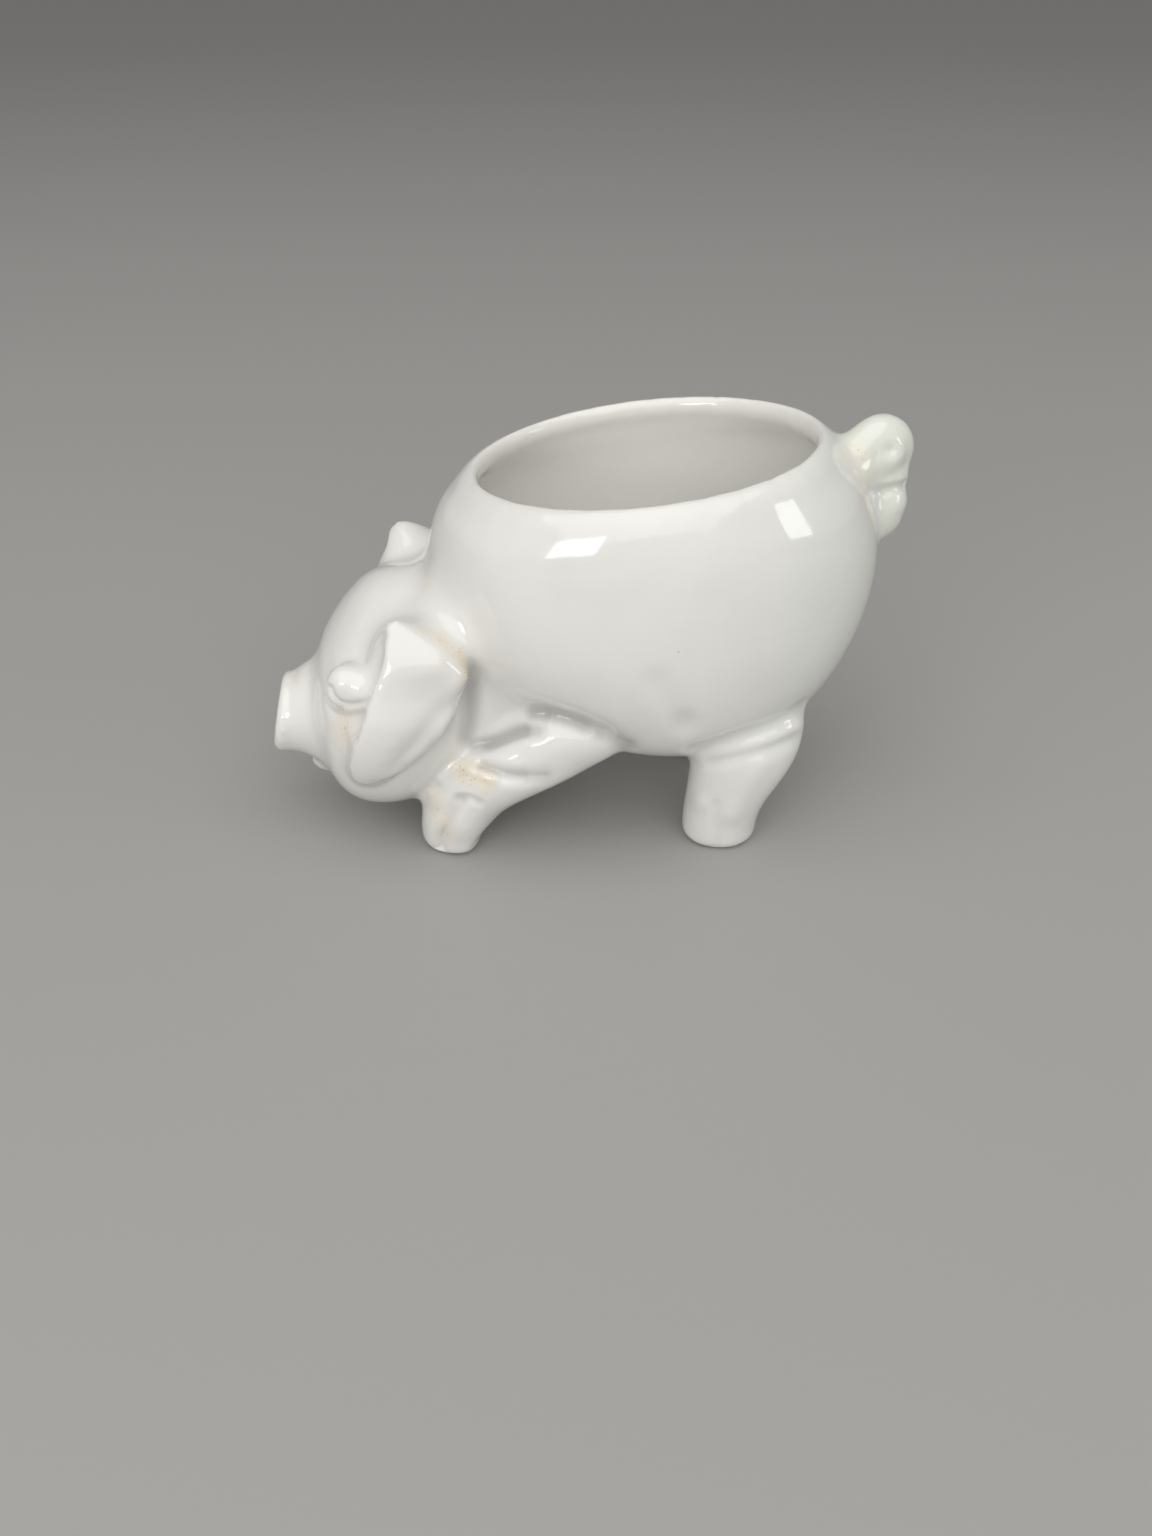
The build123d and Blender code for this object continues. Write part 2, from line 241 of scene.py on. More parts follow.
GAP_REACH = 18 * MM
SIDES = ("left", "right")
Sponge(skin, np.ones(len(skin.vertices))).work(SKIN_PASSES, push_back=0.52)
skin_points = read_points(skin, "co")
gaps = {}
for name in nodes:
    low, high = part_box(name)
    past_low = skin_points > np.array(low) - GAP_REACH
    short_of_high = skin_points < np.array(high) + GAP_REACH
    near = np.all(past_low & short_of_high, axis=1)
    gaps[name] = np.full(len(skin_points), GAP_REACH)
    gaps[name][near] = gap_to(surface_tree([name], lambda face: True), skin_points[near], GAP_REACH)

# Slip in the joints: how far each fillet reaches, how often it is sponged, and how much its ridges wear.
# Each slit is first wiped shut.
SLIT_REACH = 3 * MM
SLIT_PASSES = 14
luted_joints = [
    ("head", "torso_bowl", 18, 40, 0.15),
    ("snout", "head", 16, 80, 0.1),
    ("tail", "torso_bowl", 9, 28, 0.15),
]
for side in SIDES:
    luted_joints += [
        (side + "_front_leg", "torso_bowl", 11, 20, 0.15),
        (side + "_rear_leg", "torso_bowl", 11, 20, 0.15),
        (side + "_front_leg", "head", 6, 12, 0.15),
        (side + "_ear", "head", 8, 20, 0.3),
        (side + "_ear", "torso_bowl", 8, 20, 0.3),
        (side + "_eye", "head", 3, 6, 0.15),
    ]
for one, other, reach, passes, shave in luted_joints:
    between = np.maximum(gaps[one], gaps[other])
    Sponge(skin, fade(between, SLIT_REACH)).work(SLIT_PASSES)
    Sponge(skin, fade(between, reach * MM)).work(passes, shave=shave)


LINE_REACH = 45 * MM


def off_line(line):
    """Each vertex's distance from a line of points on the left side, or from its mirror on the right."""
    points = read_points(skin, "co")
    points[:, 1] = -np.abs(points[:, 1])
    line = np.array(line, float) * MM
    inside_box = (points > line.min(axis=0) - LINE_REACH) & (points < line.max(axis=0) + LINE_REACH)
    near = np.flatnonzero(np.all(inside_box, axis=1))
    points = points[near]
    best = np.full(len(near), np.inf)
    for start, end in zip(line[:-1], line[1:]):
        run = end - start
        share = np.clip((points - start) @ run / (run @ run), 0, 1)[:, None]
        best = np.minimum(best, np.linalg.norm(points - (start + share * run), axis=1))
    distance = np.full(len(skin.vertices), np.inf)
    distance[near] = best
    return distance


# Seen from here, the strokes of the modelling tool lie where they should on the left side.
WORK_EYE = np.array((-49.8, -453.8, 321.9)) * MM
STROKE_THICKNESS = 24 * MM


def rounded(line):
    """The line with its corners cut twice."""
    line = np.array(line, float)
    for _ in range(2):
        early = 0.75 * line[:-1] + 0.25 * line[1:]
        late = 0.25 * line[:-1] + 0.75 * line[1:]
        line = np.concatenate([line[:1], np.stack([early, late], axis=1).reshape(-1, 3), line[-1:]])
    return line


def band(line, width, cut=False):
    """How much each vertex belongs to a band along a line on the left side, or to its mirror on the right.

    A cut has a sharp floor and soft sides; any other band is round.
    """
    line = rounded(line) * MM
    facing = WORK_EYE - line.mean(axis=0)
    facing /= np.linalg.norm(facing)
    across = np.cross((0, 0, 1), facing)
    across /= np.linalg.norm(across)
    flat = np.stack([across, np.cross(facing, across)], axis=1)
    points = read_points(skin, "co")
    mirror = np.where(points[:, 1:2] > 0, (1, -1, 1), (1, 1, 1))
    left = points * mirror
    margin = STROKE_THICKNESS + width * MM
    boxed = (left > line.min(axis=0) - margin) & (left < line.max(axis=0) + margin)
    near = np.flatnonzero(np.all(boxed, axis=1))
    left = left[near]
    best = np.full(len(near), np.inf)
    depth = np.zeros(len(near))
    for start, end in zip(line[:-1], line[1:]):
        run = (end - start) @ flat
        share = np.clip((left - start) @ flat @ run / (run @ run), 0, 1)[:, None]
        away = left - (start + share * (end - start))
        distance = np.linalg.norm(away @ flat, axis=1)
        closer = distance < best
        best[closer] = distance[closer]
        depth[closer] = np.abs(away @ facing)[closer]
    seen = np.clip(4 * (read_points(skin, "normal") * mirror)[near] @ facing, 0, 1)
    profile = np.clip(1 - best / (width * MM), 0, 1) ** 2 if cut else fade(best, width * MM)
    shares = np.zeros(len(points))
    shares[near] = profile * fade(depth, STROKE_THICKNESS) * seen
    return shares


def stroke(line, width, height, cut=False):
    """Raises or presses in a band of the skin."""
    lift = MM * height * band(line, width, cut)
    set_points(skin, read_points(skin, "co") + read_points(skin, "normal") * lift[:, None])


# Slip and glaze gather in every sharp hollow: how hollow the grain has to be, and how far it is evened.
SHARP_FROM = 0.07 * MM
SHARP_TO = 0.16 * MM


def fill_sharp_hollows(rounds, passes):
    """Fills the creases that are too sharp for clay, and leaves ridges and broad hollows."""
    for _ in range(rounds):
        points = read_points(skin, "co")
        everywhere = Sponge(skin, np.ones(len(points)))
        hollow = np.sum(everywhere.pull(points) * read_points(skin, "normal"), axis=1, keepdims=True)
        sharp = np.clip((everywhere.spread(hollow, 1) - SHARP_FROM) / (SHARP_TO - SHARP_FROM), 0, 1)
        sharp = np.clip(3 * everywhere.spread(sharp, 5)[:, 0], 0, 1)
        Sponge(skin, sharp).work(passes, shave=0.25)


def dab(place, width, height):
    """Raises or presses in a round spot, as a stroke does."""
    stroke([place, np.array(place) + (0.1, 0, 0)], width, height)


def push(line, reach, shift, share=1.0):
    """Slides the skin near a line on the left by a shift in millimetres, and mirrors it on the right."""
    points = read_points(skin, "co")
    mirror = np.where(points[:, 1:2] > 0, (1, -1, 1), (1, 1, 1))
    weight = fade(off_line(line), reach * MM) * share
    set_points(skin, points + mirror * np.array(shift) * MM * weight[:, None])


# The torso is an open bowl, cast in one, with a thick wall and a leaning oval mouth in the back. Its rim
# is fettled round, so the lip runs into both walls without a groove.
LIP_MIDDLE = (25.5, 0, 159)
LIP_HALF_LENGTH = 69
LIP_HALF_WIDTH = 59
LIP_LEAN = 8
lip_turns = np.linspace(0, np.pi, 40)
lip_line = np.stack([
    LIP_MIDDLE[0] + LIP_HALF_LENGTH * np.cos(lip_turns),
    -LIP_HALF_WIDTH * np.sin(lip_turns),
    LIP_MIDDLE[2] + LIP_LEAN * np.cos(lip_turns),
], axis=1)
off_lip = off_line(lip_line)
points = read_points(skin, "co") / MM
oval = np.hypot((points[:, 0] - LIP_MIDDLE[0]) / LIP_HALF_LENGTH, points[:, 1] / LIP_HALF_WIDTH)
outer = np.clip((oval - 0.96) / 0.06, 0, 1)
Sponge(skin, fade(off_lip, 16 * MM)).work(56, shave=0.05)
Sponge(skin, fade(off_lip, 26 * MM) * outer).work(64)
LIP_OPENING = 2.6
points = read_points(skin, "co")
away = (points - np.array(LIP_MIDDLE) * MM) * (1, LIP_HALF_LENGTH / LIP_HALF_WIDTH, 0)
away /= np.linalg.norm(away, axis=1, keepdims=True) + 1e-9
oval = np.hypot(points[:, 0] / MM - LIP_MIDDLE[0], points[:, 1] / MM * LIP_HALF_LENGTH / LIP_HALF_WIDTH)
inner = fade(oval / LIP_HALF_LENGTH - 0.90, 0.14) * fade(off_line(lip_line), 26 * MM)
set_points(skin, points + away * (LIP_OPENING * MM * inner)[:, None])
Sponge(skin, fade(off_line(lip_line), 22 * MM)).work(5)
Sponge(skin, fade(off_line(lip_line), 30 * MM)).work(40, push_back=0.5)
# The crest of the lip is trued: what it strays from a slow wave round the mouth is taken off its height.
LIP_BINS = 150
points = read_points(skin, "co")
turn = np.arctan2(points[:, 1] * LIP_HALF_LENGTH / LIP_HALF_WIDTH, points[:, 0] - LIP_MIDDLE[0] * MM)
slot = np.floor((turn + np.pi) / (2 * np.pi) * LIP_BINS).astype(int) % LIP_BINS
by_lip = off_line(lip_line) < 9 * MM
crest = np.zeros(LIP_BINS)
np.maximum.at(crest, slot[by_lip], points[by_lip, 2])
bin_turn = (np.arange(LIP_BINS) + 0.5) / LIP_BINS * 2 * np.pi - np.pi
waves = [np.ones(LIP_BINS)]
for order in range(1, 6):
    waves += [np.cos(order * bin_turn), np.sin(order * bin_turn)]
waves = np.stack(waves, axis=1)
stray = crest - waves @ np.linalg.lstsq(waves, crest, rcond=None)[0]
taken_off = np.interp(turn, bin_turn, stray, period=2 * np.pi) * fade(off_line(lip_line), 22 * MM)
points[:, 2] -= taken_off
set_points(skin, points)

# The dimple and the soft groove where the belly meets the thigh.
dab((33.5, -63, 74.5), 8, -0.9)
stroke([(34, -63, 75), (29, -65, 82), (26, -67, 88), (22, -68, 96)], 9, -0.8)

# The head is hollow, luted to the front of the bowl and sponged until it runs into the shoulder.
NECK_LINE = [(-64, 0, 117), (-60, -18, 115), (-54, -32, 108), (-48, -40, 98)]
off_ears = np.clip(np.minimum(gaps["left_ear"], gaps["right_ear"]) / (5 * MM), 0, 1)
Sponge(skin, fade(off_line(NECK_LINE), 34 * MM) * off_ears).work(140)
Sponge(skin, fade(off_line([(-68, -22, 114), (-62, -33, 109)]), 26 * MM) * off_ears).work(110)
NAPE_BUMP = [(-60, -27, 117), (-54.5, -34.5, 116), (-50, -39.5, 111)]
off_ears = np.clip(np.minimum(gaps["left_ear"], gaps["right_ear"]) / (3 * MM), 0, 1)
Sponge(skin, fade(off_line(NAPE_BUMP), 32 * MM) * off_ears).work(200)
stroke([(-65.4, -6, 124), (-68, -12, 118), (-70, -22, 116), (-72, -32, 113)], 9, -1.4)
stroke([(-49, -40, 80), (-48.5, -41, 69), (-50.5, -41, 59)], 7, -2.0)
# The root of the snout flares into the face.
SNOUT_ROOT = [(-112, 0, 51), (-106, 0, 50)]
Sponge(skin, fade(off_line(SNOUT_ROOT), 40 * MM) * (gaps["snout"] > 0.5 * MM)).work(80, shave=0.6)
SNOUT_RING = [(-112, 0, 81), (-110.5, -14, 78), (-110, -24, 72), (-109.6, -29, 64), (-110.5, -28, 49),
              (-111, -21.5, 38), (-111, 0, 31)]
Sponge(skin, fade(off_line(SNOUT_RING), 9 * MM)).work(50)

# The ears are flaps draped over the sides of the head, luted down along the front and free at the rear.
EAR_FRONT = [(-79, -48, 110), (-84, -54, 99), (-86, -57, 90), (-90, -58, 80), (-95, -56, 67), (-98, -52, 55),
             (-98, -45, 45)]
EAR_REAR = [(-62, -57, 77), (-72, -58, 67), (-83, -57, 57), (-93, -49, 44)]
off_eyes = np.clip(np.minimum(gaps["left_eye"], gaps["right_eye"]) / (5 * MM), 0, 1)
EAR_CHEEK = [(-84, -42, 104), (-89, -46, 96), (-92, -49, 88), (-96, -50, 78),
             (-100, -47, 65), (-102, -43, 53)]
EAR_NAPE = [(-66, -38, 116), (-58, -39, 111), (-50, -43, 102)]
fill_sharp_hollows(3, 14)
for side in SIDES:
    Sponge(skin, fade(gaps[side + "_ear"], 6 * MM)).work(10)
Sponge(skin, fade(off_line(EAR_CHEEK), 13 * MM) * off_eyes).work(60, shave=0.1)
Sponge(skin, fade(off_line(EAR_FRONT), 8 * MM) * off_eyes).work(8)
Sponge(skin, fade(off_line(EAR_NAPE), 13 * MM)).work(50, shave=0.15)
Sponge(skin, fade(off_line(EAR_REAR), 12 * MM)).work(24, shave=0.6)
EAR_INSIDE = [(-85, -32, 103), (-79, -31, 106), (-72, -31, 108), (-64, -32, 108), (-57, -35, 106)]
Sponge(skin, fade(off_line(EAR_INSIDE), 14 * MM)).work(90, shave=0.35)
on_ears = fade(np.minimum(gaps["left_ear"], gaps["right_ear"]), 8 * MM)
push([(-57, -48, 101), (-53, -47.5, 95)], 20, (0.5, -4.0, 0), on_ears)
EAR_BACK = [(-63, -36, 115), (-55.5, -40, 111), (-50, -42.5, 104)]
Sponge(skin, fade(off_line(EAR_BACK), 14 * MM)).work(130)
right_side = (read_points(skin, "co")[:, 1] > 0).astype(float)
push([(-68, -41, 110), (-54, -42, 104)], 20, (-1, 0, 8), right_side)
Sponge(skin, fade(off_line([(-80, -41, 111), (-66, -41, 116)]), 13 * MM) * right_side).work(40)

# The front legs are bent forward under the chest, pressed solid, with a shoulder fold and a knee fold.
FRONT_CLEFT = [(-61, -44, 3), (-61.5, -44, 8), (-62, -44, 19), (-60, -44, 28), (-57, -44, 34)]
SHOULDER_FOLD = [(-23.7, -43.5, 71.4), (-19.7, -45.3, 72.1), (-12.2, -49.8, 72.4), (-4.5, -52.2, 69.9),
                 (3.4, -52.7, 66.2), (9.8, -50.8, 61), (14.3, -47.1, 56.3)]
ARM_FOLD = [(-48.1, -35.9, 53.5), (-42.9, -37.3, 54.4), (-37.9, -38.8, 56.9), (-32.7, -40.4, 60.2),
            (-27.7, -43, 63.3), (-23.5, -46.5, 64.9)]
KNEE_FOLD = [(-45.6, -45.3, 48.5), (-40.7, -48.6, 48), (-34.8, -50.6, 46.7), (-28.8, -51.6, 46.1),
             (-19.6, -51.2, 45.4)]
KNEE_RIDGE = [(-62.2, -40.4, 40.2), (-58.9, -40.8, 44), (-53.7, -42.4, 47.2), (-48.7, -46, 47.4),
              (-40.8, -50.8, 46.3)]
for side in SIDES:
    Sponge(skin, fade(gaps[side + "_front_leg"], 5 * MM)).work(12)
Sponge(skin, fade(off_line(FRONT_CLEFT), 9 * MM)).work(28, shave=0.1)
stroke(SHOULDER_FOLD, 8, -1.2)
stroke([(-22, -50, 64), (-8, -53, 62), (4, -50, 56)], 13, 1.6)
stroke(ARM_FOLD, 6, -1.2)
stroke(KNEE_FOLD, 6, -0.8)
for side in SIDES:
    Sponge(skin, fade(gaps[side + "_front_leg"], 12 * MM)).work(4)

low = fade(read_points(skin, "co")[:, 2], 26 * MM)
push([(-41, -40, 6), (-41, -32, 6)], 17, (-5.5, 0, 0), low)

# The rear legs are straighter, pressed solid, with two skin folds under the haunch.
REAR_CLEFT = [(52.5, -51, 3), (52.5, -51, 9), (52, -51, 18), (52, -51, 25)]
Sponge(skin, fade(off_line(REAR_CLEFT), 9 * MM)).work(90, shave=0.05)
stroke([(41, -52, 54), (52, -53, 58), (63, -53, 61), (76, -51, 64), (88, -45, 68)], 5, -2.0)
stroke([(49, -50, 47), (60, -54, 52), (70, -54, 54), (84, -48, 55)], 4.5, -1.6)
stroke([(45, -51, 50), (57, -54, 55), (68, -54, 58), (84, -47, 61)], 5, 0.9)
for side in SIDES:
    Sponge(skin, fade(gaps[side + "_rear_leg"], 12 * MM)).work(3)

# The tail is one fat curl pressed on the rump, with a roll below it.
TAIL_AXIS = [(116, 0, 166), (122, 0, 138)]
Sponge(skin, fade(off_line(TAIL_AXIS), 30 * MM)).work(16)
fill_sharp_hollows(2, 10)

# Finer clay where the small forms are: the face, the trotters and the tail.
for name in nodes:
    skin.attributes.new("gap_" + name, "FLOAT", "POINT").data.foreach_set("value", gaps[name])
points = read_points(skin, "co") / MM
fine = points[:, 0] < -76
fine |= (points[:, 2] < 42 + 10 * (points[:, 0] < -32)) & (np.abs(points[:, 1]) > 12)
fine |= (points[:, 0] > 104) & (points[:, 2] > 126) & (np.abs(points[:, 1]) < 22)
for fold in (SHOULDER_FOLD, ARM_FOLD, KNEE_FOLD):
    fine |= off_line(fold) < 7 * MM
kneaded = bmesh.new()
kneaded.from_mesh(skin)
split = [edge for edge in kneaded.edges if fine[edge.verts[0].index] and fine[edge.verts[1].index]]
bmesh.ops.subdivide_edges(kneaded, edges=split, cuts=1, use_grid_fill=True)
kneaded.to_mesh(skin)
kneaded.free()
skin.update()


def read_field(mesh, name):
    """One number for each vertex, from the mesh's attribute of that name."""
    values = np.empty(len(mesh.vertices), dtype=np.float32)
    mesh.attributes[name].data.foreach_get("value", values)
    return values.astype(float)


gaps = {name: read_field(skin, "gap_" + name) for name in nodes}
points = read_points(skin, "co") / MM
fine = points[:, 0] < -77
fine |= (points[:, 2] < 41 + 10 * (points[:, 0] < -33)) & (np.abs(points[:, 1]) > 13)
fine |= (points[:, 0] > 105) & (points[:, 2] > 127) & (np.abs(points[:, 1]) < 21)
for fold in (SHOULDER_FOLD, ARM_FOLD, KNEE_FOLD):
    fine |= off_line(fold) < 6 * MM
Sponge(skin, fine.astype(float)).work(10, push_back=0.5)

# The eyes are pellets pressed on the brow, each cut with one sleepy slit under a heavy lid.
EYE_SLIT = [(-102.9, -42.5, 87.2), (-102.2, -42.5, 83.6), (-100.2, -42.5, 80.5), (-97.3, -42.5, 78.9),
            (-93.4, -42.5, 79.1), (-88.9, -42.5, 81.1)]
EYE_BAG = [(-106.2, -38, 79.8), (-104.6, -38, 75.1), (-101.8, -38, 71.9), (-96.8, -38, 71.3),
           (-90.8, -38, 73.3)]
push([(-84, -52, 101), (-88.5, -54.7, 92.5), (-91.3, -52.8, 84), (-93.8, -50.3, 75)], 10, (3.4, 0, 0))
push([(-82, -45, 108), (-85, -47.5, 104), (-87, -48.5, 99), (-89, -48.5, 93)], 9, (3.8, 0, 0))
Sponge(skin, fade(off_line([(-98, -40, 86), (-90, -43, 86)]), 13 * MM)).work(90, shave=0.5)
# The right eye's dome is kept lower, so that it stays behind the brow.
near_side = np.where(read_points(skin, "co")[:, 1] < 0, 1.0, 0.25)
stroke([(-96.5, -41, 88), (-92, -43, 87.6)], 13, 2.6 * near_side)
stroke(EYE_SLIT, 2.6, -1.6, cut=True)
stroke([(-104, -42, 82), (-101.4, -42, 77.5), (-97.6, -42, 76.1), (-91, -42, 77.5)], 2.4, 0.5)
stroke(EYE_BAG, 3, -0.9, cut=True)

# The faces of the ears are pressed with the thumb, and the folds of shoulder, arm and knee are drawn into
# the damp clay with a tool's edge.
stroke([(-77, -52.5, 103.5), (-60, -49.5, 101.5)], 11, 0.7)
stroke([(-77, -58, 88), (-60, -53.5, 86)], 12, -1.3)
stroke(SHOULDER_FOLD, 7, -1.0, cut=True)
stroke(SHOULDER_FOLD[1:5], 7, -1.9, cut=True)
stroke(ARM_FOLD, 7, -1.4, cut=True)
stroke(ARM_FOLD[:5], 7, -2.0, cut=True)
stroke(KNEE_FOLD, 6, -1.0, cut=True)
stroke(KNEE_FOLD[:4], 6, -1.4, cut=True)
stroke(KNEE_RIDGE, 4, 1.3)

# The trotters are pressed at the ends of the legs: rounded toes, parted by a cleft that is cut into the
# damp clay.
TOE_CLEFT = [(-65.1, -41.7, 5), (-64.5, -42.5, 10), (-63, -43.6, 16), (-59.9, -44.1, 24),
             (-55.7, -47.6, 32.8)]
dab((-54.5, -47.2, 19), 12, 1.8)
dab((-66.5, -42.5, 17), 9, 0.9)
dab((-66, -39, 29), 6, 0.9)
stroke(TOE_CLEFT, 5.5, -2.6, cut=True)
stroke([(-56.5, -47, 34), (-52, -48.5, 35.5), (-47.5, -49.5, 33)], 3, -0.9)
stroke(REAR_CLEFT, 4, -0.5)
stroke([(69, -55, 47.5), (62.5, -54.5, 36), (59.5, -53, 22)], 6, 0.5)
dab((46, -46.7, 24), 6, 0.8)
dab((57.5, -53.5, 22), 9, 0.5)

# The tail is a fat root with one curl of clay. The groove under the curl and the hollow beside it are
# pressed in last.
stroke([(119, -10, 145.6), (125, -8, 145.7), (131, -6, 146)], 3.4, -1.2)
dab((120.5, -12, 163), 5, -1.4)

# The glaze: a glossy white coat that pools in hollows, thins and warms on ridges, and is stained in a few
# places where bare clay shows through. Shade and light are painted into the colour as well: the hollows
# greyer, partly pooled glaze and partly painted shade; the folds and the hollow behind the ear dark with
# painted shade; the inside of the bowl lighter with painted light. These fields say where, from 0 to 1.
STAINS = [
    ([(-62, -44, 113), (-55.6, -45, 105), (-51, -46.6, 98), (-49.7, -47.6, 94)], 7, 1.0),
    ([(-98.6, -41.5, 71), (-96, -44, 66), (-101, -40.6, 64)], 11, 0.75),
    ([(-91, -44, 84), (-90, -44, 79)], 5, 0.7),
    ([(-54, -43, 45), (-48, -47, 45), (-45, -50, 44)], 9, 0.9),
    ([(-65, -40, 29.5), (-64, -43.5, 21), (-61, -44.6, 14)], 9, 0.55),
    ([(-120, -3, 68), (-113, -6, 69)], 9, 0.45),
    ([(104.5, -12.6, 162), (109, -15, 152.6), (110, -21, 147), (113, -23, 139)], 10, 0.6),
    ([(-60, -20, 116), (-63, -8, 118)], 8, 0.25),
]
TORSO_CENTRE = Vector((29, 0, 100)) * MM
CURVE_SCALE = 0.09 * MM


def faces_out(face):
    """True for a packed face that looks away from the middle of the torso."""
    return face.normal.dot(face.center - TORSO_CENTRE) > 0


points = read_points(skin, "co")
normals = read_points(skin, "normal")
everywhere = Sponge(skin, np.ones(len(points)))
from_centre = points - np.array(TORSO_CENTRE)
from_centre /= np.linalg.norm(from_centre, axis=1, keepdims=True)
# Painted light: the inside of the bowl, whose colour is made lighter below.
facing_in = np.clip(0.5 - 1.2 * np.sum(normals * from_centre, axis=1), 0, 1)
inside = facing_in * fade(gaps["torso_bowl"], 6 * MM) * (gaps["head"] > 1 * MM)
# How hollow or ridged the skin is: hollows get a greyer colour, partly pooled glaze and partly painted
# shade, and ridges get the thinned glaze.
curve = np.sum(everywhere.pull(points) * normals, axis=1, keepdims=True)
curve = everywhere.spread(curve, 14)[:, 0] / CURVE_SCALE
stain = np.zeros(len(points))
for line, reach, strength in STAINS:
    stain = np.maximum(stain, strength * fade(off_line(line), reach * MM))
# Painted shade: dark bands in the folds of shoulder, arm and knee and in the hollow behind the ear.
fold = 0.6 * band(SHOULDER_FOLD, 5) + 0.5 * band(SHOULDER_FOLD[:4], 5)
fold = np.maximum(fold, 0.5 * band(ARM_FOLD, 5) + 0.6 * band(ARM_FOLD[1:5], 4.5))
fold = np.maximum(fold, 0.35 * band(KNEE_FOLD, 4) + 0.3 * band(KNEE_FOLD[:4], 3.5))
fold = np.maximum(fold, 0.8 * band([(-48.7, -41, 92), (-48, -41, 80), (-49, -41, 69), (-51, -41, 60)], 6))
fields = {
    "fold": np.clip(fold, 0, 1),
    "inside": everywhere.spread(inside[:, None], 6)[:, 0],
    "pool_and_shade": np.clip(curve, 0, 1),
    "ridge": np.clip(-curve - 0.25, 0, 1),
    "stain": stain,
}

BODY_WHITE = (0.80, 0.79, 0.765, 1)
BODY_SHADE = (0.755, 0.75, 0.725, 1)
# Painted shade: a greyer colour for hollows, partly pooled glaze.
POOL_AND_SHADE_TINT = (0.62, 0.63, 0.60, 1)
# Painted shade for the folds and the hollow behind the ear.
FOLD_SHADE_TINT = (0.40, 0.395, 0.38, 1)
RIDGE_TINT = (0.82, 0.79, 0.73, 1)
# Painted light: a lighter colour for the inside of the bowl.
INSIDE_LIGHT_TINT = (0.84, 0.83, 0.795, 1)
# Painted shade: a darker, greener colour towards the rear.
RUMP_SHADE_TINT = (0.745, 0.775, 0.73, 1)
STAIN_TINT = (0.80, 0.66, 0.46, 1)
SPECK_BROWN = (0.22, 0.13, 0.07, 1)
PINHOLE_GREY = (0.30, 0.28, 0.25, 1)
TAIL_WHITE = (0.79, 0.79, 0.72, 1)
TAIL_SHADE = (0.75, 0.755, 0.66, 1)


